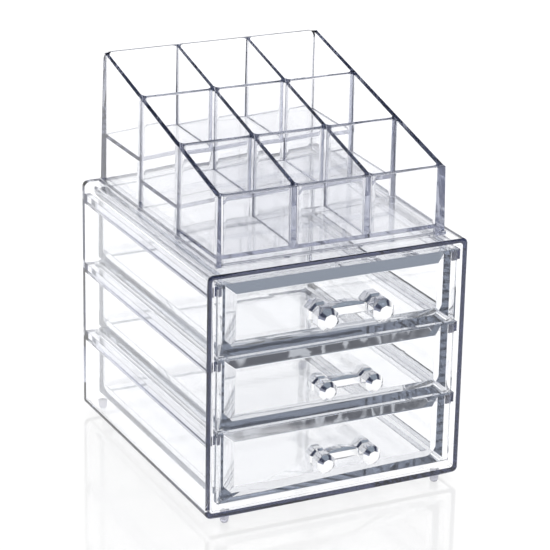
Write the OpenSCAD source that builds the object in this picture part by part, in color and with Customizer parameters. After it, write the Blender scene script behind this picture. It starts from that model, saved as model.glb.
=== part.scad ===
// Clear cosmetics organizer: a drawer cabinet with three crystal-handled drawers and
// a stepped tray of nine compartments standing on its top.
// Millimetres, +Z up, the drawers open towards -Y. The origin is on the ground, under
// the middle of the whole outline, handles included.

/* [Cabinet] */
// Outside width of the cabinet
cabinet_w = 170; // [150:1:240]
// Outside depth of the cabinet, from its front rim to its back
cabinet_d = 191; // [190:1:260]
// Thickness of the cabinet's moulded walls
cabinet_wall = 3; // [2.4:0.1:3.6]
// Outer radius of the cabinet's four long edges
cabinet_corner = 3.5; // [2:0.5:6]
// Radius of the hollows along the cabinet's inner edges
inner_corner = 2; // [1:0.5:4]
// How far the rim of the open front stands in from the walls
rim_lip = 1; // [0.5:0.1:1.5]
// Depth of that rim, front to back
rim_d = 2.6; // [1.6:0.1:3.2]
// Free height under the lowest drawer
under_gap = 5.6; // [3:0.1:8]
// Free height over the highest drawer
over_gap = 3.2; // [2.4:0.1:8]

/* [Drawer rails] */
// Width of a rail, out from the cabinet's side wall
rail_w = 6.8; // [6:0.1:7.4]
// Height of a rail
rail_h = 6; // [3:0.1:8]
// Radius of a rail's long edges
rail_round = 0.8; // [0.3:0.1:1.4]

/* [Drawers] */
// Height of a drawer
drawer_h = 45; // [38:0.5:60]
// Free height between one drawer and the next
drawer_gap = 1.2; // [0.8:0.1:3]
// How far the drawer fronts stand back behind the cabinet's rim
front_reveal = 0.8; // [0.2:0.1:4]
// Thickness of a drawer's front
front_t = 3; // [2.4:0.1:4]
// Gap between the front's side edge and the cabinet's rim
front_side_gap = 2.7; // [1:0.1:3.4]
// Corner radius of the front
front_corner = 1.4; // [0.5:0.1:3]
// Thickness of the drawer's side and back walls
drawer_wall = 3; // [2:0.1:3.6]
// Thickness of the drawer's floor
drawer_floor = 3; // [2:0.1:3.6]
// Width of the slopes inside the drawer's corners and round its floor
drawer_slope = 5.6; // [3:0.2:7]
// Radius of the drawer's outer edges
drawer_round = 2; // [1:0.5:4]
// Gap between the drawer's back and the cabinet's back wall
drawer_back_gap = 3; // [1:0.5:10]
// Width of the flange that hangs the drawer on its rails
flange_w = 3.6; // [2.6:0.1:4]
// Thickness of that flange
flange_t = 1.8; // [1.2:0.1:2.4]
// Height of the wedge that stiffens the top of the front
wedge_h = 8; // [5:0.5:10]
// Thickness of that wedge at its top
wedge_t = 7.8; // [6:0.1:9]

/* [Handles] */
// Distance between the axes of a handle's two knobs
knob_spacing = 30.5; // [28:0.5:40]
// Height of the handle's axis over the drawer's underside
handle_z = 22; // [17:0.5:26]
// How far the knobs stand out of the drawer's front
knob_reach = 20; // [16:0.5:26]
// Size of the top drawer's handle, against the other two
top_handle_scale = 1.18; // [1:0.02:1.3]
// Width of a knob's eight-sided collar over its corners
collar_w = 12.8; // [12.2:0.1:15]
// Length of the collar
collar_len = 9; // [7:0.1:11]
// Width of a knob's cut crown over its corners
crown_w = 12.4; // [11.6:0.1:14]
// Width of the groove between collar and crown
groove_w = 10.6; // [9:0.1:11]
// Width of the crown's flat front face
table_w = 8.8; // [6:0.1:10]
// Height of the bar at its middle
bar_h = 7.6; // [6:0.1:9]
// How far the bar's edges dip from its middle towards its ends
bar_arch = 1.2; // [0.2:0.1:1.4]
// Thickness of the bar, front to back
bar_t = 6; // [4:0.1:7]
// Width of the bevels along the bar's front edges
bar_bevel = 1.8; // [0.4:0.1:2.2]
// Gap between the bar's back and the drawer's front
bar_standoff = 3; // [1:0.1:5]
// Width of the peg that holds a knob in the drawer's front
peg_w = 5; // [3:0.1:6]
// Width of the tenon at each end of the bar
tenon_w = 3; // [2:0.1:3.4]
// Length of that tenon
tenon_len = 2.4; // [1.5:0.1:3]

/* [Tray] */
// Width of the tray at its base
tray_w = 149.6; // [130:0.2:152]
// Depth of the tray at its base
tray_d = 173; // [150:0.5:173]
// Height of the tray's back
tray_back_h = 84; // [70:0.5:110]
// Height of the tray's front
tray_front_h = 42.5; // [36:0.5:60]
// Setback of the tray's front from the cabinet's rim
tray_setback = 11.2; // [9:0.1:13]
// Thickness of the tray's outer walls at their top
tray_wall = 2.4; // [1.8:0.1:3]
// Thickness of the dividers at the height of the tray's back
divider_t = 2.2; // [1.6:0.1:3]
// Thickness of the tray's floors
tray_floor = 2.4; // [1.8:0.1:3]
// Height of the front row's floor
first_floor = 6; // [5:0.5:8]
// Rise from one row's floor to the next
floor_step = 13; // [8:0.5:15]
// Lean of the tray's outside, in degrees
outer_draft = 1; // [0.2:0.1:1.2]
// Lean of the compartments' walls, in degrees
cell_draft = 0.5; // [0.2:0.1:0.8]
// Radius of the compartments' upright corners
cell_corner = 2.6; // [1.5:0.1:5]
// Radius of the back wall's two upper corners
back_corner = 5; // [2:0.5:8]
// How far the bead round the tray's base stands out
bead_w = 1.2; // [0.5:0.1:1.4]
// Height of that bead
bead_h = 2; // [1:0.1:3]

/* [Feet] */
// Width of a foot where it meets the cabinet
foot_w = 5.8; // [4:0.1:8]
// Height of a foot
foot_h = 5.4; // [2:0.1:8]
// Distance from the cabinet's side to a foot's axis
foot_side_inset = 14; // [8:0.5:30]
// Distance from the cabinet's front or back to a foot's axis
foot_end_inset = 4.6; // [4.2:0.1:30]

/* [Clearances] */
// Gap at which a sliding or standing piece lies over its seat
seat_gap = 0.2; // [0.1:0.05:0.4]
// Gap between the drawer's side and its rail
rail_gap = 0.5; // [0.3:0.1:0.8]
// Film of cement between cemented pieces
bond_gap = 0.1; // [0.05:0.01:0.2]

/* [Hidden] */
$fn = 64;

CLEAR = [0.80, 0.82, 0.90, 0.35];
CRYSTAL = [0.70, 0.72, 0.80, 0.55];
RUBBER = [0.45, 0.45, 0.50, 0.80];

// How far cutting shapes pass through what they cut, and fused ribs run into their wall
CUT = 1;
BURY = 0.5;
SIDES = [-1, 1];
DRAWERS = 3;
TRAY_ROWS = 3;
TRAY_COLUMNS = 3;
FACETS = 8;
CORNER_STEPS = 6;

// Heights, from the ground up
cabinet_z = foot_h;
drawer_pitch = drawer_h + drawer_gap;
first_drawer_z = cabinet_z + cabinet_wall + under_gap;
cabinet_h = 2 * cabinet_wall + under_gap + DRAWERS * drawer_pitch - drawer_gap + over_gap;
tray_z = cabinet_z + cabinet_h + seat_gap;

// Places along the depth: the whole outline is centred, from the knobs to the cabinet's back
whole_d = cabinet_d + knob_reach * top_handle_scale - front_reveal;
cabinet_y = whole_d / 2 - cabinet_d;
front_y = cabinet_y + front_reveal;
tray_y = cabinet_y + tray_setback;

// Inside of the cabinet
inner_w = cabinet_w - 2 * cabinet_wall;
inner_h = cabinet_h - 2 * cabinet_wall;
rail_start = front_reveal + front_t + seat_gap;

// Drawer
tub_w = inner_w - 2 * (rail_w + rail_gap);
front_w = inner_w - 2 * (rim_lip + front_side_gap);
drawer_len = cabinet_d - front_reveal - cabinet_wall - drawer_back_gap;
hollow_w = tub_w - 2 * drawer_wall;
hollow_len = drawer_len - front_t - drawer_wall;
rail_top = drawer_h - flange_t - seat_gap;

// Handle: distance from a knob's axis to the flats of its collar
flat_turn = 180 / FACETS;
collar_flat = collar_w / 2 * cos(flat_turn);
bar_len = knob_spacing - 2 * (collar_flat + bond_gap);
bar_arc_r = (pow(bar_len / 2, 2) + pow(bar_arch, 2)) / (2 * bar_arch);
tenon_y = bar_standoff + bar_t / 2;
groove_len = 1.6;
cone_len = 1.4;

// Tray
outer_lean = tan(outer_draft);
cell_lean = tan(cell_draft);
tray_top_w = tray_w - 2 * tray_back_h * outer_lean;
tray_top_d = tray_d - 2 * tray_back_h * outer_lean;
cell_w = (tray_top_w - 2 * tray_wall - (TRAY_COLUMNS - 1) * divider_t) / TRAY_COLUMNS;
cell_d = (tray_top_d - 2 * tray_wall - (TRAY_ROWS - 1) * divider_t) / TRAY_ROWS;
back_wall_y = tray_d / 2 + tray_top_d / 2 - tray_wall;
front_wall_y = tray_front_h * outer_lean;
bead_corner = 2;
top_row_w = TRAY_COLUMNS * cell_w + (TRAY_COLUMNS - 1) * divider_t;

// Height of a tray row's floor, counted from the front
function floor_z(row) = first_floor + row * floor_step;

// Width or depth of a compartment at a height, from its size at the height of the tray's back
function cell_at(size, z) = size - 2 * (tray_back_h - z) * cell_lean;

// Rectangle with rounded corners, about its middle
module round_rect(w, h, r) {
    square([w - 2 * r, h], center = true);
    square([w, h - 2 * r], center = true);
    for (x = SIDES, y = SIDES) translate([x * (w / 2 - r), y * (h / 2 - r)]) circle(r);
}

// Rectangle about its middle, its corners sloped off
module sloped_rect(w, h, c) {
    polygon([[c - w / 2, -h / 2], [w / 2 - c, -h / 2], [w / 2, c - h / 2], [w / 2, h / 2 - c],
        [w / 2 - c, h / 2], [c - w / 2, h / 2], [-w / 2, h / 2 - c], [-w / 2, c - h / 2]]);
}

// Rectangle standing on the X axis, its two lower corners sloped off
module sloped_cup(w, h, c) {
    polygon([[c - w / 2, 0], [w / 2 - c, 0], [w / 2, c], [w / 2, h], [-w / 2, h], [-w / 2, c]]);
}

// Rectangle standing on the X axis, rounded at its two lower corners
module cup_section(w, h, r) {
    translate([-w / 2, r]) square([w, h - r]);
    translate([r - w / 2, 0]) square([w - 2 * r, h]);
    for (x = SIDES) translate([x * (w / 2 - r), r]) circle(r);
}

// A section in X and Z, pushed along Y from one place to another
module along_y(from, to) {
    translate([0, to, 0]) rotate([90, 0, 0]) linear_extrude(to - from) children();
}

// A section in Y and Z, pushed along X on both sides of the middle
module along_x(width) {
    translate([-width / 2, 0, 0]) rotate([90, 0, 90]) linear_extrude(width) children();
}

// Box from y = 0 backwards, rounded at its upright edges and round its floor
module soft_box(w, d, h, r) {
    intersection() {
        translate([0, d / 2, 0]) linear_extrude(h) round_rect(w, d, r);
        along_y(0, d) cup_section(w, h, r);
        along_x(w) translate([d / 2, 0]) cup_section(d, h, r);
    }
}

// The same box with slopes at 45 degrees in place of its round edges
module sloped_box(w, d, h, c) {
    intersection() {
        translate([0, d / 2, 0]) linear_extrude(h) sloped_rect(w, d, c);
        along_y(0, d) sloped_cup(w, h, c);
        along_x(w) translate([d / 2, 0]) sloped_cup(d, h, c);
    }
}

// Closed form through a stack of rings of points; two triangles for each side of each step
module ring_form(rings) {
    sides = len(rings[0]);
    last = sides - 1;
    steps = len(rings) - 1;
    faces = concat(
        [[for (i = [0 : last]) i]],
        [[for (i = [last : -1 : 0]) steps * sides + i]],
        [for (s = [0 : steps - 1], i = [0 : last]) let (j = (i + 1) % sides)
            [s * sides + i, (s + 1) * sides + i, (s + 1) * sides + j]],
        [for (s = [0 : steps - 1], i = [0 : last]) let (j = (i + 1) % sides)
            [s * sides + i, (s + 1) * sides + j, s * sides + j]]);
    polyhedron([for (r = rings) each r], faces);
}

// --- Cabinet: one moulding, open at the front -------------------------------------

// Outline of the cabinet seen from the front, standing on z = 0 and let in all round
module cabinet_outline(inset, r) {
    translate([0, cabinet_h / 2]) round_rect(cabinet_w - 2 * inset, cabinet_h - 2 * inset, r);
}

// A rail on the right-hand wall, its top at z = 0
module rail_section() {
    wall_x = inner_w / 2;
    translate([wall_x - rail_w / 2, -rail_h / 2]) round_rect(rail_w, rail_h, rail_round);
    translate([wall_x - rail_w / 2, -rail_h]) square([rail_w / 2 + BURY, rail_h]);
}

module rails() {
    for (i = [0 : DRAWERS - 1]) {
        rail_z = cabinet_wall + under_gap + i * drawer_pitch + rail_top;
        for (side = [0, 1]) mirror([side, 0, 0]) translate([0, 0, rail_z])
            along_y(rail_start, cabinet_d - cabinet_wall + BURY) rail_section();
    }
}

module cabinet_shell() {
    color(CLEAR) translate([0, cabinet_y, cabinet_z]) {
        difference() {
            along_y(0, cabinet_d) cabinet_outline(0, cabinet_corner);
            along_y(rim_d, cabinet_d - cabinet_wall) cabinet_outline(cabinet_wall, inner_corner);
            along_y(-CUT, rim_d + CUT) cabinet_outline(cabinet_wall + rim_lip, inner_corner);
        }
        rails();
    }
}

// --- Feet: soft studs cemented under the cabinet's corners ------------------------

module foot(x_side, y_side) {
    foot_x = x_side * (cabinet_w / 2 - foot_side_inset);
    foot_y = cabinet_y + cabinet_d / 2 + y_side * (cabinet_d / 2 - foot_end_inset);
    edge = foot_h / 5;
    color(RUBBER) translate([foot_x, foot_y, 0]) rotate_extrude()
        polygon([[0, 0], [foot_w / 2 - edge, 0], [foot_w / 2 - edge / 3, edge],
            [foot_w / 2, foot_h - bond_gap], [0, foot_h - bond_gap]]);
}

// --- Drawers: a tub and its wider front, one moulding, hung by its side flanges ----

// Height of a drawer's underside; 0 is the lowest drawer
function drawer_z(index) = first_drawer_z + index * drawer_pitch;

// Size of a drawer's handle
function handle_scale(index) = index == DRAWERS - 1 ? top_handle_scale : 1;

// The tub's outside, cut square where the front covers it
module tub_outside() {
    intersection() {
        translate([0, -drawer_round, 0])
            soft_box(tub_w, drawer_len + drawer_round, drawer_h, drawer_round);
        translate([-tub_w, 0, -CUT]) cube([2 * tub_w, drawer_len + CUT, drawer_h + 2 * CUT]);
    }
}

module drawer_flange() {
    flange_len = drawer_len - drawer_round;
    translate([0, flange_len / 2, drawer_h - flange_t])
        linear_extrude(flange_t) round_rect(tub_w + 2 * flange_w, flange_len, front_corner);
}

// Wedge behind the top of the front, which leans the light up out of the plastic
module front_wedge() {
    along_x(hollow_w + drawer_wall)
        polygon([[front_t - BURY, drawer_h], [front_t + wedge_t, drawer_h],
            [front_t + wedge_t, drawer_h - flange_t], [front_t, drawer_h - wedge_h],
            [front_t - BURY, drawer_h - wedge_h]]);
}

module peg_holes(size) {
    for (x = SIDES) translate([x * size * knob_spacing / 2, front_t + CUT, handle_z])
        rotate([90, 0, 0]) cylinder(h = front_t + 2 * CUT, d = size * peg_w + 2 * bond_gap);
}

module drawer(index) {
    color(CLEAR) translate([0, front_y, drawer_z(index)]) {
        difference() {
            union() {
                along_y(0, front_t) translate([0, drawer_h / 2])
                    round_rect(front_w, drawer_h, front_corner);
                tub_outside();
                drawer_flange();
            }
            translate([0, front_t, drawer_floor])
                sloped_box(hollow_w, hollow_len, drawer_h, drawer_slope);
            peg_holes(handle_scale(index));
        }
        front_wedge();
    }
}

// --- Handles: two cut knobs, pegged into the drawer's front, and the bar between them ---

// Corners of one eight-sided ring: its width over the corners, its height and its turn
function ring(width, z, turn = flat_turn) =
    [for (i = [0 : FACETS - 1]) let (a = i * 360 / FACETS + turn)
        [width / 2 * cos(a), width / 2 * sin(a), z]];

// A knob along +Z, its back at z = 0 and its peg behind that: collar, groove and crown,
// whose table is turned by half a side, so that sixteen triangular facets lead up to it
module knob_form(peg_len) {
    crown_start = collar_len + groove_len;
    ring_form([
        ring(collar_w - cone_len, bond_gap),
        ring(collar_w, cone_len),
        ring(collar_w, collar_len - cone_len),
        ring(groove_w, collar_len),
        ring(groove_w, crown_start),
        ring(crown_w, crown_start + cone_len),
        ring(crown_w, (crown_start + knob_reach) / 2),
        ring(table_w, knob_reach, 0)]);
    translate([0, 0, -peg_len]) cylinder(h = peg_len + cone_len, d = peg_w);
}

// Places a handle's piece, drawn from the drawer's front along +Z, on its drawer
module on_drawer(index) {
    color(CRYSTAL) translate([0, front_y, drawer_z(index) + handle_z])
        rotate([90, 0, 0]) scale(handle_scale(index)) children();
}

module knob(index, side) {
    on_drawer(index) translate([side * knob_spacing / 2, 0, 0]) difference() {
        knob_form(front_t / handle_scale(index));
        translate([-side * (collar_flat + CUT), 0, tenon_y]) rotate([0, side * 90, 0])
            cylinder(h = CUT + tenon_len + bond_gap, d = tenon_w + 2 * bond_gap);
    }
}

// The bar's outline seen from the front: both edges arched
module bar_outline() {
    arc_drop = bar_arc_r - bar_h / 2;
    intersection() {
        square([bar_len, bar_h], center = true);
        translate([0, -arc_drop]) circle(bar_arc_r, $fn = 128);
        translate([0, arc_drop]) circle(bar_arc_r, $fn = 128);
    }
}

// The bar's section in height and distance from the drawer's front, bevelled in front
module bar_section() {
    half_h = bar_h / 2;
    polygon([[-half_h, 0], [half_h, 0], [half_h, bar_t - bar_bevel], [half_h - bar_bevel, bar_t],
        [bar_bevel - half_h, bar_t], [-half_h, bar_t - bar_bevel]]);
}

module handle_bar(index) {
    tenon_reach = bar_len / 2 + bond_gap + tenon_len;
    on_drawer(index) {
        translate([0, 0, bar_standoff]) intersection() {
            linear_extrude(bar_t) bar_outline();
            along_x(bar_len) bar_section();
        }
        translate([-tenon_reach, 0, tenon_y]) rotate([0, 90, 0])
            cylinder(h = 2 * tenon_reach, d = tenon_w);
    }
}

// --- Tray: nine compartments on three steps, hollow underneath ---------------------

module tray_front_view() {
    polygon([[-tray_w / 2, 0], [tray_w / 2, 0], [tray_top_w / 2, tray_back_h],
        [-tray_top_w / 2, tray_back_h]]);
}

module tray_side_view() {
    back_top_y = tray_d - tray_back_h * outer_lean;
    polygon([[0, 0], [tray_d, 0], [back_top_y, tray_back_h], [back_wall_y, tray_back_h],
        [front_wall_y + tray_wall, tray_front_h], [front_wall_y, tray_front_h]]);
}

// The tray before it is hollowed, with the bead round its base
module tray_block() {
    intersection() {
        along_y(0, tray_d) tray_front_view();
        along_x(tray_w) tray_side_view();
    }
    translate([0, tray_d / 2, 0]) linear_extrude(bead_h)
        round_rect(tray_w + 2 * bead_w, tray_d + 2 * bead_w, bead_corner);
}

// Middle of a compartment, counted from the left and from the front
function cell_x(column) = (column - (TRAY_COLUMNS - 1) / 2) * (cell_w + divider_t);
function cell_y(row) = tray_d / 2 + (row - (TRAY_ROWS - 1) / 2) * (cell_d + divider_t);

// Outline of a compartment at a height: a rectangle with a quarter round in each corner,
// whose radius grows with the height so that its middle stays in place
function cell_ring(z, floor) =
    let (w = cell_at(cell_w, z), d = cell_at(cell_d, z), r = cell_corner + (z - floor) * cell_lean)
    [for (corner = [0 : 3], step = [0 : CORNER_STEPS])
        let (a = (corner + step / CORNER_STEPS) * 90, middle = corner * 90 + 45)
        [sign(cos(middle)) * (w / 2 - r) + r * cos(a),
            sign(sin(middle)) * (d / 2 - r) + r * sin(a), z]];

// A compartment, from its floor up past the tray's top
module cell(column, row) {
    floor = floor_z(row);
    translate([cell_x(column), cell_y(row), 0])
        ring_form([cell_ring(floor, floor), cell_ring(tray_back_h + CUT, floor)]);
}

// Hollow under one row, open at the bottom
module step_hollow(row) {
    d = cell_at(cell_d, 0);
    translate([0, cell_y(row), -CUT]) linear_extrude(floor_z(row) - tray_floor + CUT)
        round_rect(cell_at(top_row_w, 0), d, cell_corner);
}

// Cuts one upper corner of the back wall round
module back_corner_cut() {
    corner_x = tray_top_w / 2;
    translate([0, back_wall_y, 0]) along_y(0, tray_wall + CUT) difference() {
        translate([corner_x - back_corner, tray_back_h - back_corner])
            square(back_corner + CUT);
        translate([corner_x - back_corner, tray_back_h - back_corner]) circle(back_corner);
    }
}

module tray() {
    color(CLEAR) translate([0, tray_y, tray_z]) difference() {
        tray_block();
        for (column = [0 : TRAY_COLUMNS - 1], row = [0 : TRAY_ROWS - 1]) cell(column, row);
        for (row = [0 : TRAY_ROWS - 1]) step_hollow(row);
        for (side = [0, 1]) mirror([side, 0, 0]) back_corner_cut();
    }
}

cabinet_shell();
foot(-1, -1);  // foot_front_left
foot(1, -1);  // foot_front_right
foot(-1, 1);  // foot_back_left
foot(1, 1);  // foot_back_right
drawer(0);  // drawer_bottom
drawer(1);  // drawer_middle
drawer(2);  // drawer_top
knob(0, -1);  // knob_left_bottom
knob(0, 1);  // knob_right_bottom
handle_bar(0);  // handle_bar_bottom
knob(1, -1);  // knob_left_middle
knob(1, 1);  // knob_right_middle
handle_bar(1);  // handle_bar_middle
knob(2, -1);  // knob_left_top
knob(2, 1);  // knob_right_top
handle_bar(2);  // handle_bar_top
tray();
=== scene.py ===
# %% [markdown]
# A clear cosmetics organizer: a cabinet with three drawers, and a tray of nine stepped
# compartments that stands on it. Everything but the feet is moulded from clear plastic.
# The solids come packed from the maker's CAD with their real sizes. This notebook
# softens their edges, gives them their finishes and lights them in a small studio.

# %% Load the frame
import math

import bmesh
import bpy
from mathutils import Matrix, Vector


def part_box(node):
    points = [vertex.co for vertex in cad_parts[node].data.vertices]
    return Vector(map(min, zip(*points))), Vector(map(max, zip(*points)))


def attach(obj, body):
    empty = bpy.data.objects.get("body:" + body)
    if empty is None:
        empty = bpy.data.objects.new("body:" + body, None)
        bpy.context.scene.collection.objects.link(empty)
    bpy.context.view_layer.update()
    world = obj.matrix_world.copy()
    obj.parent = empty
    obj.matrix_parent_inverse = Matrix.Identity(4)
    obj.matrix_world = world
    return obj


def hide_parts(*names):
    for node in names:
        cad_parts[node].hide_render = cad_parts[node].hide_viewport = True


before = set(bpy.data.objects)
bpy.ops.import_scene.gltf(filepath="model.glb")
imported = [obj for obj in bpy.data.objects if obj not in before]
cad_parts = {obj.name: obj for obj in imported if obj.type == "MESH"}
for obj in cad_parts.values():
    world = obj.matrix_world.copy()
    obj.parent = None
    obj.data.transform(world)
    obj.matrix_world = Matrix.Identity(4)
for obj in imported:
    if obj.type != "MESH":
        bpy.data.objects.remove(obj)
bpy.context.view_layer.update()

MM = 0.001
CM3 = (10 * MM) ** 3
scene = bpy.context.scene

# %% [markdown]
# The moulds leave no edge truly sharp: each has a radius of a few tenths of a
# millimetre, and in clear plastic that radius is what draws the dark outline. The CAD
# meshes are loose triangles, so a copy is welded first, its flat faces are joined, and
# then a Bevel modifier rounds every edge that is sharper than an angle. The modifier has
# one width, so each edge gets a weight: its own radius, as a share of the widest. Rounding
# in the CAD itself would work too, but it would make its solids needlessly heavy.

# %% Copies with softened edges
SHARP = math.radians(28)         # faces that meet at more than this make an edge
SHADED_SHARP = math.radians(50)  # and at more than this, one that is shaded sharp too
FLAT = math.radians(0.3)         # faces that meet at less are parts of one flat face
ONE_POINT = 0.002 * MM           # corners closer than this are one corner
ON_PLANE = 0.01 * MM             # a corner this close to a plane lies on it


def mesh_object(name, mesh):
    """A new object at the origin, unturned and unscaled, that holds this mesh."""
    piece = bpy.data.objects.new(name, mesh)
    scene.collection.objects.link(piece)
    return piece


def measured(work):
    """A mesh's faces, the edges that leave it open, and how much it holds."""
    open_edges = sum(1 for edge in work.edges if not edge.is_manifold)
    return (f"{len(work.faces)} faces, {open_edges} open edges, "
            f"{work.calc_volume(signed=True) / CM3:.2f} cm3")


def welded_copy(node, name):
    """The CAD node's mesh with its triangles welded and its flat faces joined."""
    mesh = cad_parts[node].data.copy()
    mesh.name = name
    mesh.materials.clear()
    work = bmesh.new()
    work.from_mesh(mesh)
    bmesh.ops.remove_doubles(work, verts=work.verts, dist=ONE_POINT)
    bmesh.ops.dissolve_degenerate(work, edges=work.edges, dist=ONE_POINT)
    bmesh.ops.dissolve_limit(work, verts=work.verts, edges=work.edges, angle_limit=FLAT)
    work.to_mesh(mesh)
    print(f"{name}, welded: {measured(work)}")
    work.free()
    return mesh


def applied(piece):
    """The piece with its modifiers turned into a plain mesh."""
    graph = bpy.context.evaluated_depsgraph_get()
    graph.update()
    mesh = bpy.data.meshes.new_from_object(piece.evaluated_get(graph), depsgraph=graph)
    mesh.name = piece.name
    piece.modifiers.clear()
    piece.data = mesh
    return piece


def weigh_edges(mesh, radius, wide_radius, is_wide):
    """Gives each sharp edge its radius as a share of the wide radius.

    An edge shorter than its radius stays sharp: rounding it would throw out a spike.
    """
    work = bmesh.new()
    work.from_mesh(mesh)
    weight = work.edges.layers.float.new("bevel_weight_edge")
    for edge in work.edges:
        if is_wide is not None and is_wide(edge):
            edge[weight] = 1.0
        elif edge.calc_length() > radius and edge.calc_face_angle(0.0) > SHARP:
            edge[weight] = radius / wide_radius
    work.to_mesh(mesh)
    work.free()


def soften(piece, radius, wide_radius=None, is_wide=None, segments=2):
    """Rounds the piece's sharp edges; flat faces keep their own normals up to their rims."""
    wide_radius = wide_radius or radius
    weigh_edges(piece.data, radius, wide_radius, is_wide)
    rounding = piece.modifiers.new("moulded_edges", "BEVEL")
    rounding.width = wide_radius
    rounding.segments = segments
    rounding.limit_method = "WEIGHT"
    rounding.use_clamp_overlap = False
    rounding.miter_outer = "MITER_SHARP"
    applied(piece)
    for polygon in piece.data.polygons:
        polygon.use_smooth = True
    piece.data.set_sharp_from_angle(angle=SHADED_SHARP)
    weighting = piece.modifiers.new("flat_faces_first", "WEIGHTED_NORMAL")
    weighting.mode = "FACE_AREA"
    weighting.weight = 100
    weighting.keep_sharp = True
    return applied(piece)


# %% [markdown]
# Nodes are built by four small helpers: one starts a node tree with its named inputs and
# outputs, one adds a node and sets or links its sockets, one does a piece of maths, and
# one lays a colour over another.

# %% Helpers for node trees
def new_tree(kind, name, inputs, outputs):
    """A node tree with these named inputs (name, type, value) and outputs (name, type)."""
    tree = bpy.data.node_groups.new(name, kind)
    for label, socket_type, value in inputs:
        socket = tree.interface.new_socket(label, in_out="INPUT",
                                           socket_type="NodeSocket" + socket_type)
        if value is not None:
            socket.default_value = value
    for label, socket_type in outputs:
        tree.interface.new_socket(label, in_out="OUTPUT", socket_type="NodeSocket" + socket_type)
    return tree, tree.nodes.new("NodeGroupInput").outputs, tree.nodes.new("NodeGroupOutput").inputs


def add(tree, kind, values=None, **settings):
    """A node with these settings; values sets or links its sockets by name or number."""
    node = tree.nodes.new(kind)
    for key, value in settings.items():
        setattr(node, key, value)
    for key, value in (values or {}).items():
        if isinstance(value, bpy.types.NodeSocket):
            tree.links.new(value, node.inputs[key])
        else:
            node.inputs[key].default_value = value
    return node


def combine(tree, operation, a, b=0.0):
    """The result of one Math node."""
    return add(tree, "ShaderNodeMath", {0: a, 1: b}, operation=operation).outputs[0]


def laid_over(tree, under, over, share):
    """One colour laid over another by a share from 0 to 1."""
    return add(tree, "ShaderNodeMix", {"Factor": share, 6: under, 7: over},
               data_type="RGBA").outputs[2]


# %% [markdown]
# Effects that several finishes share are node groups: each is built once and placed in
# every material with its own values. Used clear plastic shows hair-fine scratches from
# wiping, a film of dust and fingerprints that only its gloss betrays, edges that have
# gone a little dull, and the slow ripple of a wall that shrank in its mould.

# %% Scratches and dust
# How each set of scratches is turned, and how it is squeezed across its lines.
SCRATCH_SETS = [((0.3, 0.5, 0.2), (1.0, 22.0, 9.0)), ((0.1, 1.1, 1.3), (14.0, 1.0, 24.0))]
DUST_FINENESS, CLOUD_SHARE = 40.0, 0.6
CLEAN, DUSTY = (1.0, 1.0, 1.0, 1.0), (0.93, 0.93, 0.94, 1.0)


def fine_scratches():
    """Two sets of long thin scratches, from noise that is stretched along one way."""
    tree, given, made = new_tree(
        "ShaderNodeTree", "fine_scratches",
        [("Vector", "Vector", None), ("Scale", "Float", 60.0), ("Amount", "Float", 1.0)],
        [("Mask", "Float")])
    masks = []
    for turn, stretch in SCRATCH_SETS:
        turned = add(tree, "ShaderNodeMapping",
                     {"Vector": given["Vector"], "Rotation": turn, "Scale": stretch})
        noise = add(tree, "ShaderNodeTexNoise",
                    {"Vector": turned.outputs[0], "Scale": given["Scale"], "Detail": 2.0})
        line = add(tree, "ShaderNodeMapRange",
                   {"Value": noise.outputs["Fac"], "From Min": 0.66, "From Max": 0.74})
        masks.append(line.outputs[0])
    both = combine(tree, "MAXIMUM", *masks)
    tree.links.new(combine(tree, "MULTIPLY", both, given["Amount"]), made["Mask"])
    return tree


def dust_and_prints():
    """Soft clouds of handling marks with finer dust in them."""
    tree, given, made = new_tree(
        "ShaderNodeTree", "dust_and_prints",
        [("Vector", "Vector", None), ("Scale", "Float", 30.0), ("Amount", "Float", 1.0)],
        [("Mask", "Float"), ("Tint", "Color")])
    clouds = add(tree, "ShaderNodeTexNoise",
                 {"Vector": given["Vector"], "Scale": given["Scale"], "Detail": 4.0})
    touched = add(tree, "ShaderNodeMapRange",
                  {"Value": clouds.outputs["Fac"], "From Min": 0.5, "From Max": 0.72})
    dust = add(tree, "ShaderNodeTexNoise",
               {"Vector": given["Vector"],
                "Scale": combine(tree, "MULTIPLY", given["Scale"], DUST_FINENESS)})
    specks = add(tree, "ShaderNodeMapRange",
                 {"Value": dust.outputs["Fac"], "From Min": 0.62, "From Max": 0.8})
    clouded = combine(tree, "MULTIPLY", touched.outputs[0], CLOUD_SHARE)
    mixed = combine(tree, "MAXIMUM", clouded, specks.outputs[0])
    mask = combine(tree, "MULTIPLY", mixed, given["Amount"])
    tree.links.new(mask, made["Mask"])
    tree.links.new(laid_over(tree, CLEAN, DUSTY, mask), made["Tint"])
    return tree


# %% Worn edges and ripple
def edge_wear():
    """Where the surface bends outwards, broken up by noise."""
    tree, given, made = new_tree(
        "ShaderNodeTree", "edge_wear",
        [("Vector", "Vector", None), ("Scale", "Float", 200.0), ("Amount", "Float", 1.0)],
        [("Mask", "Float")])
    shape = add(tree, "ShaderNodeNewGeometry")
    bent = add(tree, "ShaderNodeMapRange",
               {"Value": shape.outputs["Pointiness"], "From Min": 0.52, "From Max": 0.6})
    noise = add(tree, "ShaderNodeTexNoise",
                {"Vector": given["Vector"], "Scale": given["Scale"], "Detail": 3.0})
    worn = combine(tree, "MULTIPLY", bent.outputs[0], noise.outputs["Fac"])
    tree.links.new(combine(tree, "MULTIPLY", worn, given["Amount"]), made["Mask"])
    return tree


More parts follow.
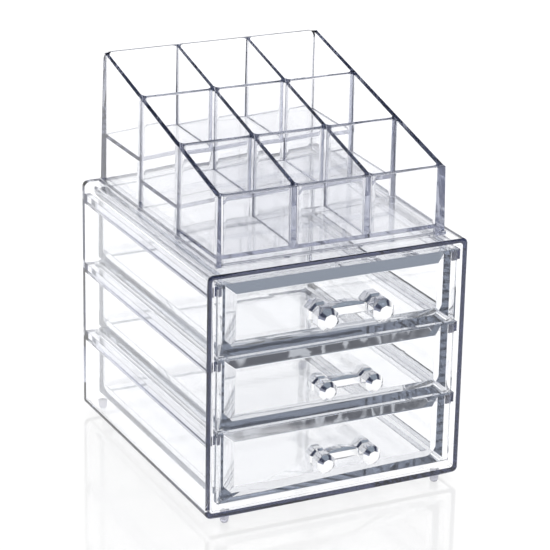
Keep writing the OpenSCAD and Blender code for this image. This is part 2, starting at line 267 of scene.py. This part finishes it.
def moulding_ripple():
    """The height of the slow waves, drawn out one way, in a wall that cooled in its mould."""
    tree, given, made = new_tree(
        "ShaderNodeTree", "moulding_ripple",
        [("Vector", "Vector", None), ("Scale", "Float", 18.0)],
        [("Height", "Float")])
    drawn_out = add(tree, "ShaderNodeMapping",
                    {"Vector": given["Vector"], "Scale": (1.0, 0.3, 0.3)})
    waves = add(tree, "ShaderNodeTexNoise",
                {"Vector": drawn_out.outputs[0], "Scale": given["Scale"], "Detail": 1.0})
    tree.links.new(waves.outputs["Fac"], made["Height"])
    return tree


EFFECTS = {make.__name__: make() for make in (fine_scratches, dust_and_prints, edge_wear,
                                              moulding_ripple)}
print("shared effects:", ", ".join(EFFECTS))


def effect(tree, name, vector, **values):
    """Places one of the shared effects in a material."""
    node = tree.nodes.new("ShaderNodeGroup")
    node.node_tree = EFFECTS[name]
    tree.links.new(vector, node.inputs["Vector"])
    for label, value in values.items():
        node.inputs[label].default_value = value
    return node.outputs


# %% [markdown]
# Clear polystyrene is glass to a renderer: it bends light by 1.59 and reflects a
# twentieth of it. Its colour only shows along an edge, where light has come a long way
# through the wall, so it is not painted on the surface but set as Volume Absorption,
# weak enough to leave a 3 mm wall white and strong enough to turn an edge lavender. The
# handles are acrylic with facets that shine like mirrors, which a high Metallic gives.

# %% Clear plastic
WORN_ROUGHNESS = 0.12


def clear_plastic(name, ior, depth_colour, density, scratches, prints, ripple_scale,
                  ripple_height, silver=0.0):
    """A clear moulded plastic with its wear; silver is how much of it is mirrored."""
    material = bpy.data.materials.new(name)
    material.use_nodes = True
    tree = material.node_tree
    tree.nodes.clear()
    place = add(tree, "ShaderNodeTexCoord").outputs["Object"]
    scratch = effect(tree, "fine_scratches", place, **scratches)
    touched = effect(tree, "dust_and_prints", place, **prints)
    worn = effect(tree, "edge_wear", place, Scale=350.0, Amount=0.5)
    wave = effect(tree, "moulding_ripple", place, Scale=ripple_scale)
    marks = combine(tree, "MAXIMUM", scratch["Mask"], touched["Mask"])
    marks = combine(tree, "MAXIMUM", marks, worn["Mask"])
    rough = add(tree, "ShaderNodeMapRange", {"Value": marks, "To Max": WORN_ROUGHNESS})
    bump = add(tree, "ShaderNodeBump",
               {"Height": wave["Height"], "Strength": 1.0, "Distance": ripple_height})
    shader = add(tree, "ShaderNodeBsdfPrincipled",
                 {"Base Color": touched["Tint"], "Roughness": rough.outputs[0], "IOR": ior,
                  "Transmission Weight": 1.0, "Metallic": silver, "Normal": bump.outputs[0]})
    depth = add(tree, "ShaderNodeVolumeAbsorption", {"Color": depth_colour, "Density": density})
    add(tree, "ShaderNodeOutputMaterial",
        {"Surface": shader.outputs[0], "Volume": depth.outputs[0]})
    return material


# %% Clear finishes
POLYSTYRENE, ACRYLIC = 1.59, 1.52
LAVENDER_DEPTH, SMOKE_DEPTH = (0.40, 0.43, 0.56, 1.0), (0.43, 0.48, 0.57, 1.0)
WIPED = {"Scale": 60.0, "Amount": 0.35}
CLEAR_FINISHES = {
    "clear_cabinet": {"ior": POLYSTYRENE, "depth_colour": LAVENDER_DEPTH, "density": 25.0,
                      "scratches": WIPED, "prints": {"Scale": 22.0, "Amount": 0.25},
                      "ripple_scale": 24.0, "ripple_height": 0.03 * MM},
    "clear_drawer": {"ior": POLYSTYRENE, "depth_colour": SMOKE_DEPTH, "density": 15.0,
                     "scratches": WIPED, "prints": {"Scale": 22.0, "Amount": 0.3},
                     "ripple_scale": 60.0, "ripple_height": 0.08 * MM},
    "clear_tray": {"ior": POLYSTYRENE, "depth_colour": LAVENDER_DEPTH, "density": 18.0,
                   "scratches": WIPED, "prints": {"Scale": 26.0, "Amount": 0.25},
                   "ripple_scale": 30.0, "ripple_height": 0.05 * MM},
    "crystal_handle": {"ior": ACRYLIC, "depth_colour": SMOKE_DEPTH, "density": 40.0,
                       "scratches": {"Scale": 140.0, "Amount": 0.3},
                       "prints": {"Scale": 60.0, "Amount": 0.3},
                       "ripple_scale": 60.0, "ripple_height": 0.005 * MM, "silver": 0.85},
}
FINISHES = {name: clear_plastic(name, **values) for name, values in CLEAR_FINISHES.items()}
print("clear finishes:", ", ".join(FINISHES))

# %% [markdown]
# The feet are soft translucent studs. Rubber like this lets light through but scatters
# it. Light scattered in a volume would be slow to render for four small feet, so rough
# glass with a grey tint and a fine pebbled skin takes its place, and dust sticks to it.

# %% Soft studs
RUBBER, DUSTY_RUBBER = (0.50, 0.50, 0.57, 1.0), (0.64, 0.64, 0.68, 1.0)


def stud_rubber():
    """Matt translucent grey rubber."""
    material = bpy.data.materials.new("foot_rubber")
    material.use_nodes = True
    tree = material.node_tree
    tree.nodes.clear()
    place = add(tree, "ShaderNodeTexCoord").outputs["Object"]
    touched = effect(tree, "dust_and_prints", place, Scale=120.0, Amount=0.8)
    pebbles = add(tree, "ShaderNodeTexVoronoi", {"Vector": place, "Scale": 1800.0})
    bump = add(tree, "ShaderNodeBump",
               {"Height": pebbles.outputs["Distance"], "Strength": 0.6, "Distance": 0.05 * MM})
    rough = add(tree, "ShaderNodeMapRange",
                {"Value": touched["Mask"], "To Min": 0.25, "To Max": 0.5})
    shader = add(tree, "ShaderNodeBsdfPrincipled",
                 {"Base Color": laid_over(tree, RUBBER, DUSTY_RUBBER, touched["Mask"]),
                  "Roughness": rough.outputs[0], "IOR": 1.45, "Transmission Weight": 0.85,
                  "Metallic": 0.0, "Normal": bump.outputs[0]})
    add(tree, "ShaderNodeOutputMaterial", {"Surface": shader.outputs[0]})
    return material


FINISHES["foot_rubber"] = stud_rubber()
print("all finishes:", ", ".join(FINISHES))

# %% [markdown]
# The walls of the cabinet, the three tubs and the tray are each one moulding. They keep
# the CAD's shape, with softened edges. Two sets of edges are rounder than the rest: those
# that rise along the cabinet's front and back outline, and the rims of the tray. Each set
# is picked by a test, a function that looks at one edge and says whether it belongs.

# %% Helpers for mouldings
CORNER_INSET = 1.2 * MM  # the most that a rounded corner of an outline lies inside its box
UPWARD = 0.9             # the least Z of a normal that points up


def seat(piece, body, slot, *nodes):
    """Gives a finished piece its finish and its body, and hides the CAD nodes that it stands for."""
    piece.data.materials.clear()
    piece.data.materials.append(FINISHES[slot])
    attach(piece, body)
    for node in nodes:
        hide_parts(node)
    work = bmesh.new()
    work.from_mesh(piece.data)
    print(f"{piece.name}, finished: {measured(work)}")
    work.free()


def cut_across(mesh, y):
    """Splits the mesh's edges at this y, so that a radius may end in mid edge."""
    work = bmesh.new()
    work.from_mesh(mesh)
    bmesh.ops.bisect_plane(work, geom=work.verts[:] + work.edges[:] + work.faces[:],
                           dist=ONE_POINT, plane_co=(0, y, 0), plane_no=(0, 1, 0))
    work.to_mesh(mesh)
    work.free()


def outline_of(node):
    """A test for the edges that rise along the outside of this node's front or back end."""
    low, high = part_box(node)

    def on_outline(edge):
        ends = [vert.co for vert in edge.verts]
        rises = abs(ends[0].z - ends[1].z) > ON_PLANE
        at_an_end = any(all(abs(end.y - y) < ON_PLANE for end in ends) for y in (low.y, high.y))
        return rises and at_an_end and all(
            min(end.x - low.x, high.x - end.x, end.z - low.z, high.z - end.z) < CORNER_INSET
            for end in ends)
    return on_outline


def rim_of(node, lowest, behind):
    """A test for the edges along the tops of this tray's walls, above one height and
    in front of one line."""
    low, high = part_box(node)

    def on_rim(edge):
        placed = all(end.co.z > low.z + lowest and end.co.y < high.y - behind
                     for end in edge.verts)
        return placed and edge.calc_face_angle(0.0) > SHARP and any(
            face.normal.z > UPWARD for face in edge.link_faces)
    return on_rim


def keep_inside(piece, node):
    """Draws any corner that the rounding pushed out of the node's box back to its side."""
    low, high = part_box(node)
    furthest = 0.0
    for vert in piece.data.vertices:
        inside = Vector(min(max(at, a), b) for at, a, b in zip(vert.co, low, high))
        furthest = max(furthest, (inside - vert.co).length)
        vert.co = inside
    print(f"{piece.name}: corners drawn in by {furthest / MM:.2f} mm at most")


# %% Mouldings
OUTLINE_RADIUS, OUTLINE_SEGMENTS, RIM_RADIUS = 1.6 * MM, 4, 0.6 * MM
RIM_FROM, RIM_END = 41.7 * MM, 7.3 * MM  # above the tray's foot, and in front of its back
MOULDINGS = [
    ("cabinet_walls", "cabinet_shell", "cabinet", "clear_cabinet", 0.35 * MM),
    ("bottom_tub", "drawer_bottom", "bottom_drawer", "clear_drawer", 0.3 * MM),
    ("middle_tub", "drawer_middle", "middle_drawer", "clear_drawer", 0.3 * MM),
    ("top_tub", "drawer_top", "top_drawer", "clear_drawer", 0.3 * MM),
    ("stepped_tray", "tray", "compartment_tray", "clear_tray", 0.25 * MM),
]
for name, node, body, slot, radius in MOULDINGS:
    moulding = mesh_object(name, welded_copy(node, name))
    if node == "cabinet_shell":
        soften(moulding, radius, OUTLINE_RADIUS, outline_of(node), OUTLINE_SEGMENTS)
    elif node == "tray":
        cut_across(moulding.data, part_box(node)[1].y - RIM_END)
        soften(moulding, radius, RIM_RADIUS, rim_of(node, RIM_FROM, RIM_END - ON_PLANE))
    else:
        soften(moulding, radius)
    keep_inside(moulding, node)
    seat(moulding, body, slot, node)

# %% [markdown]
# Each handle is a bar between two knobs that are cut like crystal. A drawer's two knobs
# are the same form, one turned half round, so that its hole for the bar faces the other:
# a Geometry Nodes tree sets both on a line of two points. The four feet are also one
# form, set on the corners of a grid. Copies placed by hand would do for so few, but a tree
# keeps their spacing as one input.


# %% Trees that repeat a form
def repeating_tree(name, inputs):
    """A Geometry Nodes tree that takes a form, these inputs and a finish."""
    return new_tree("GeometryNodeTree", name,
                    [("Form", "Geometry", None), *inputs, ("Finish", "Material", None)],
                    [("Pieces", "Geometry")])


def set_and_finish(tree, given, made, placing):
    """Sets the form on points, makes it real and gives it its finish."""
    placed = add(tree, "GeometryNodeInstanceOnPoints", {"Instance": given["Form"], **placing})
    real = add(tree, "GeometryNodeRealizeInstances", {"Geometry": placed.outputs[0]})
    finished = add(tree, "GeometryNodeSetMaterial",
                   {"Geometry": real.outputs[0], "Material": given["Finish"]})
    tree.links.new(finished.outputs[0], made["Pieces"])
    return tree


def knob_pair_tree():
    """Two knobs on a line, the second turned half round its axis."""
    tree, given, made = repeating_tree("knob_pair", [("First place", "Vector", (0, 0, 0)),
                                                     ("Spacing", "Float", 30 * MM)])
    offset = add(tree, "ShaderNodeCombineXYZ", {"X": given["Spacing"]})
    line = add(tree, "GeometryNodeMeshLine", {"Count": 2, "Start Location": given["First place"],
                                              "Offset": offset.outputs[0]})
    index = add(tree, "GeometryNodeInputIndex").outputs[0]
    turned = add(tree, "ShaderNodeCombineXYZ", {"Y": combine(tree, "MULTIPLY", index, math.pi)})
    return set_and_finish(tree, given, made,
                          {"Points": line.outputs[0], "Rotation": turned.outputs[0]})


def corner_tree():
    """Four feet on the corners of a grid."""
    tree, given, made = repeating_tree("corner_feet", [("Middle", "Vector", (0, 0, 0)),
                                                       ("Size across", "Float", 100 * MM),
                                                       ("Size along", "Float", 100 * MM)])
    grid = add(tree, "GeometryNodeMeshGrid", {"Size X": given["Size across"],
                                              "Size Y": given["Size along"],
                                              "Vertices X": 2, "Vertices Y": 2})
    moved = add(tree, "GeometryNodeTransform", {"Geometry": grid.outputs[0],
                                                "Translation": given["Middle"]})
    return set_and_finish(tree, given, made, {"Points": moved.outputs[0]})


def grown(name, mesh, tree, values):
    """Runs a tree on a form and returns the result as a plain piece."""
    piece = mesh_object(name, mesh)
    growth = piece.modifiers.new(tree.name, "NODES")
    growth.node_group = tree
    for item in tree.interface.items_tree:
        if item.in_out == "INPUT" and item.name in values:
            growth[item.identifier] = values[item.name]
    return applied(piece)


def middle(node):
    """The middle of a CAD node's box."""
    low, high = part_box(node)
    return (low + high) / 2


# %% [markdown]
# The CAD's knob has a steep crown. On the real one it is cut flatter, so that its facets
# show all round the table. Moving the corners of the girdle and of the table on the copy
# does that, with no new faces.

# %% Handles
# A knob's measures at this spacing. The top handle is larger in proportion.
KNOB_SPACING, GIRDLE_FROM, GIRDLE_TO, TABLE_SHARE = 30.5 * MM, 4.7 * MM, 2.7 * MM, 0.84
KNOB_RADIUS, BAR_RADIUS = 0.12 * MM, 0.2 * MM


def flatten_crown(mesh, girdle_from, girdle_to, table_share):
    """Moves the girdle of a knob towards its table, and draws the table's corners in."""
    moved = 0
    for vert in mesh.vertices:
        if abs(vert.co.y) < ON_PLANE:
            vert.co.x *= table_share
            vert.co.z *= table_share
        elif abs(vert.co.y - girdle_from) < ON_PLANE:
            vert.co.y = girdle_to
            moved += 1
    print("corners of the girdle moved:", moved)


knob_pair = knob_pair_tree()
for level in ("bottom", "middle", "top"):
    left, right, bar_node = (f"{part}_{level}" for part in ("knob_left", "knob_right", "handle_bar"))
    place = middle(left)
    place.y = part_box(left)[0].y
    spacing = middle(right).x - middle(left).x
    size = spacing / KNOB_SPACING
    form = mesh_object("knob_form", welded_copy(left, f"{level}_knob_form"))
    form.data.transform(Matrix.Translation(-place))
    flatten_crown(form.data, GIRDLE_FROM * size, GIRDLE_TO * size, TABLE_SHARE)
    soften(form, KNOB_RADIUS)
    knobs = grown(f"{level}_knobs", form.data, knob_pair,
                  {"First place": place, "Spacing": spacing,
                   "Finish": FINISHES["crystal_handle"]})
    bpy.data.objects.remove(form)
    seat(knobs, f"{level}_drawer", "crystal_handle", left, right)
    bar = soften(mesh_object(f"{level}_bar", welded_copy(bar_node, f"{level}_bar")), BAR_RADIUS)
    seat(bar, f"{level}_drawer", "crystal_handle", bar_node)
    print(f"{level} handle: knobs {spacing / MM:.1f} mm apart")

# %% [markdown]
# Four studs, all alike, stand under the corners of the cabinet. One of them is softened
# and moved to the origin, and its tree sets it under each corner.

# %% Feet
STUD_RADIUS = 0.2 * MM
FEET = [f"foot_{end}_{side}" for end in ("front", "back") for side in ("left", "right")]
corners = [middle(foot) for foot in FEET]
span = corners[3] - corners[0]
stud = mesh_object("stud_form", welded_copy(FEET[0], "stud_form"))
stud.data.transform(Matrix.Translation(-corners[0]))
soften(stud, STUD_RADIUS)
studs = grown("corner_studs", stud.data, corner_tree(),
              {"Middle": (corners[0] + corners[3]) / 2, "Size across": span.x,
               "Size along": span.y, "Finish": FINISHES["foot_rubber"]})
bpy.data.objects.remove(stud)
seat(studs, "cabinet", "foot_rubber", *FEET)

# %% [markdown]
# The organizer stands on a white floor that mirrors it faintly. A floor lit by the lamp
# alone would turn grey towards its far side, so most of its white is its own glow, and
# its dark diffuse colour only carries the shadow. Seen at a low angle the floor would
# mirror the dark side of the room, so there the glow rises to full white.

# %% Floor
FLOOR_SIZE = 3.0
SHADOWED, GLOW_SEEN, GLOW_THROUGH = 0.16, 0.74, 0.98
LOW_ANGLE = {"From Min": 0.78, "From Max": 0.88}
WHITE = (1.0, 1.0, 1.0, 1.0)


def ray_kinds(tree):
    """Masks of the camera's own rays, and of those that gloss or clear plastic sent on."""
    kinds = add(tree, "ShaderNodeLightPath").outputs
    return kinds["Is Camera Ray"], combine(tree, "MAXIMUM", kinds["Is Glossy Ray"],
                                           kinds["Is Transmission Ray"])


floor_mesh = bpy.data.meshes.new("floor")
floor_mesh.from_pydata([(-FLOOR_SIZE, -FLOOR_SIZE, 0), (FLOOR_SIZE, -FLOOR_SIZE, 0),
                        (FLOOR_SIZE, FLOOR_SIZE, 0), (-FLOOR_SIZE, FLOOR_SIZE, 0)],
                       [], [(0, 1, 2, 3)])
floor = mesh_object("floor", floor_mesh)
floor_white = bpy.data.materials.new("floor_white")
floor_white.use_nodes = True
tree = floor_white.node_tree
tree.nodes.clear()
gloss = add(tree, "ShaderNodeBsdfPrincipled",
            {"Base Color": (SHADOWED, SHADOWED, SHADOWED, 1.0), "Roughness": 0.08, "IOR": 1.8})
facing = add(tree, "ShaderNodeLayerWeight", {"Blend": 0.5}).outputs["Facing"]
seen = add(tree, "ShaderNodeMapRange",
           {"Value": facing, **LOW_ANGLE, "To Min": GLOW_SEEN, "To Max": 1.0},
           interpolation_type="SMOOTHSTEP").outputs[0]
by_camera, through = ray_kinds(tree)
strength = combine(tree, "ADD", combine(tree, "MULTIPLY", through, GLOW_THROUGH),
                   combine(tree, "MULTIPLY", by_camera, seen))
glow = add(tree, "ShaderNodeEmission", {"Color": WHITE, "Strength": strength})
both = add(tree, "ShaderNodeAddShader", {0: gloss.outputs[0], 1: glow.outputs[0]})
add(tree, "ShaderNodeOutputMaterial", {"Surface": both.outputs[0]})
floor_mesh.materials.append(floor_white)
print(f"floor: {2 * FLOOR_SIZE:.0f} m across")

# %% [markdown]
# Clear plastic has no colour of its own to show: its outline is drawn by what its edges
# bend into sight, so the room matters more than the lamp. Behind the organizer stands a
# white backdrop, in front hangs a dark curtain whose folds catch some light low down, and
# there are grey side walls, dim corners over them and a grey ceiling. The room could be
# built from planes, but the World's shader can mix it from the direction of a ray. Only
# rays from gloss or through plastic see it: the camera sees white all round, and what is
# matt is lit by one even level.

# %% World
PLAIN_LEVEL = 0.8
SIDE_WALLS, DIM_CORNERS = (0.28, 0.30, 0.38, 1.0), (0.04, 0.045, 0.075, 1.0)
FOLD, FOLD_LIT = (0.06, 0.065, 0.08, 1.0), (0.62, 0.64, 0.67, 1.0)
CEILING = (0.26, 0.30, 0.36, 1.0)
# Where a zone starts and where it is full, as Y (depth) or Z (height) of a unit direction.
DIM_ABOVE, CEILING_ABOVE = (0.3, 0.5), (0.7, 0.8)
CURTAIN_IN_FRONT, CURTAIN_BELOW, FOLDS_BELOW = (-0.55, -0.8), (0.3, 0.15), (0.17, 0.12)
BACKDROP_BEHIND, BACKDROP_BELOW = (-0.1, 0.2), (0.54, 0.46)
FOLD_NOISE, FOLD_SIDES = {"Scale": 40.0, "Detail": 3.0}, (0.46, 0.60)

world = bpy.data.worlds.new("studio")
scene.world = world
world.use_nodes = True
tree = world.node_tree
tree.nodes.clear()
way = add(tree, "ShaderNodeSeparateXYZ",
          {0: add(tree, "ShaderNodeTexCoord").outputs["Generated"]}).outputs


def between(value, start, full):
    """0 up to the start, 1 from the full value on, and a soft step from one to the other."""
    return add(tree, "ShaderNodeMapRange", {"Value": value, "From Min": start, "From Max": full},
               interpolation_type="SMOOTHSTEP").outputs[0]


room = laid_over(tree, SIDE_WALLS, DIM_CORNERS, between(way["Z"], *DIM_ABOVE))
in_front = combine(tree, "MULTIPLY", between(way["Y"], *CURTAIN_IN_FRONT),
                   between(way["Z"], *CURTAIN_BELOW))
folds = add(tree, "ShaderNodeTexNoise", {"W": way["X"], **FOLD_NOISE},
            noise_dimensions="1D").outputs["Fac"]
lit = combine(tree, "MULTIPLY", between(folds, *FOLD_SIDES), between(way["Z"], *FOLDS_BELOW))
room = laid_over(tree, room, laid_over(tree, FOLD, FOLD_LIT, lit), in_front)
room = laid_over(tree, room, CEILING, between(way["Z"], *CEILING_ABOVE))
behind = combine(tree, "MULTIPLY", between(way["Y"], *BACKDROP_BEHIND),
                 between(way["Z"], *BACKDROP_BELOW))
room = laid_over(tree, room, WHITE, behind)
by_camera, through = ray_kinds(tree)
shown = laid_over(tree, (PLAIN_LEVEL, PLAIN_LEVEL, PLAIN_LEVEL, 1.0), room, through)
shown = laid_over(tree, shown, WHITE, by_camera)
sky = add(tree, "ShaderNodeBackground", {"Color": shown, "Strength": 1.0})
add(tree, "ShaderNodeOutputWorld", {"Surface": sky.outputs[0]})
print("room:", len(tree.nodes), "nodes")

# %% [markdown]
# One large softbox overhead throws the soft shadow. Gloss and clear plastic don't see it,
# because a bright square mirrored in every wall would hide the outlines.


# %% Softbox
def softbox(name, place, target, size, power):
    """A square area lamp that looks at a point."""
    lamp = bpy.data.lights.new(name, "AREA")
    lamp.size = size
    lamp.energy = power
    holder = bpy.data.objects.new(name, lamp)
    holder.location = place
    holder.rotation_euler = (Vector(target) - Vector(place)).to_track_quat("-Z", "Y").to_euler()
    holder.visible_glossy = False
    holder.visible_transmission = False
    scene.collection.objects.link(holder)
    print(f"{name}: {power:.0f} W, {size:.1f} m wide")


softbox("overhead_softbox", place=(0.2, 0.1, 1.6), target=(0, 0, 0.1), size=1.0, power=12.0)

# %% [markdown]
# The camera looks down on the organizer's left front corner through a long lens. Its place
# is worked out from the point it looks at, two angles and a distance, and it is moved
# sideways by a few pixels to set the organizer in the middle of the picture.

# %% Camera
AZIMUTH, ELEVATION, ROLL = (math.radians(angle) for angle in (-26.495, 20.270, 1.120))
DISTANCE, LENS, SENSOR, FRAME_PX = 1.548156, 164.94, 36, 550
AIM = Vector((0, 0.9 * MM, 107.4 * MM))
OFF_AXIS_PX = (0.586, -15.593)
back = Vector((math.sin(AZIMUTH) * math.cos(ELEVATION), -math.cos(AZIMUTH) * math.cos(ELEVATION),
               math.sin(ELEVATION)))
level_right = Vector((math.cos(AZIMUTH), math.sin(AZIMUTH), 0))
level_up = level_right.cross(-back)
right = level_right * math.cos(ROLL) + level_up * math.sin(ROLL)
up = level_up * math.cos(ROLL) - level_right * math.sin(ROLL)
per_px = DISTANCE / (LENS / SENSOR * FRAME_PX)
camera = bpy.data.objects.new("camera", bpy.data.cameras.new("camera"))
camera.data.lens = LENS
camera.data.sensor_width = SENSOR
camera.matrix_world = Matrix.Translation(
    AIM + back * DISTANCE - right * OFF_AXIS_PX[0] * per_px - up * OFF_AXIS_PX[1] * per_px
) @ Matrix((right, up, back)).transposed().to_4x4()
scene.collection.objects.link(camera)
bpy.context.scene.camera = camera
print(f"camera: {DISTANCE:.2f} m away, one pixel shows {per_px / MM:.2f} mm")

# %% [markdown]
# Light crosses a dozen walls on its way through the organizer and is mirrored many times
# inside each, so the usual limits on its bounces would leave black dashes along the edges.

# %% Render settings
scene.view_settings.view_transform = "Standard"
scene.cycles.max_bounces = 128
scene.cycles.transmission_bounces = 64
scene.cycles.glossy_bounces = 40
print("bounces:", scene.cycles.max_bounces)
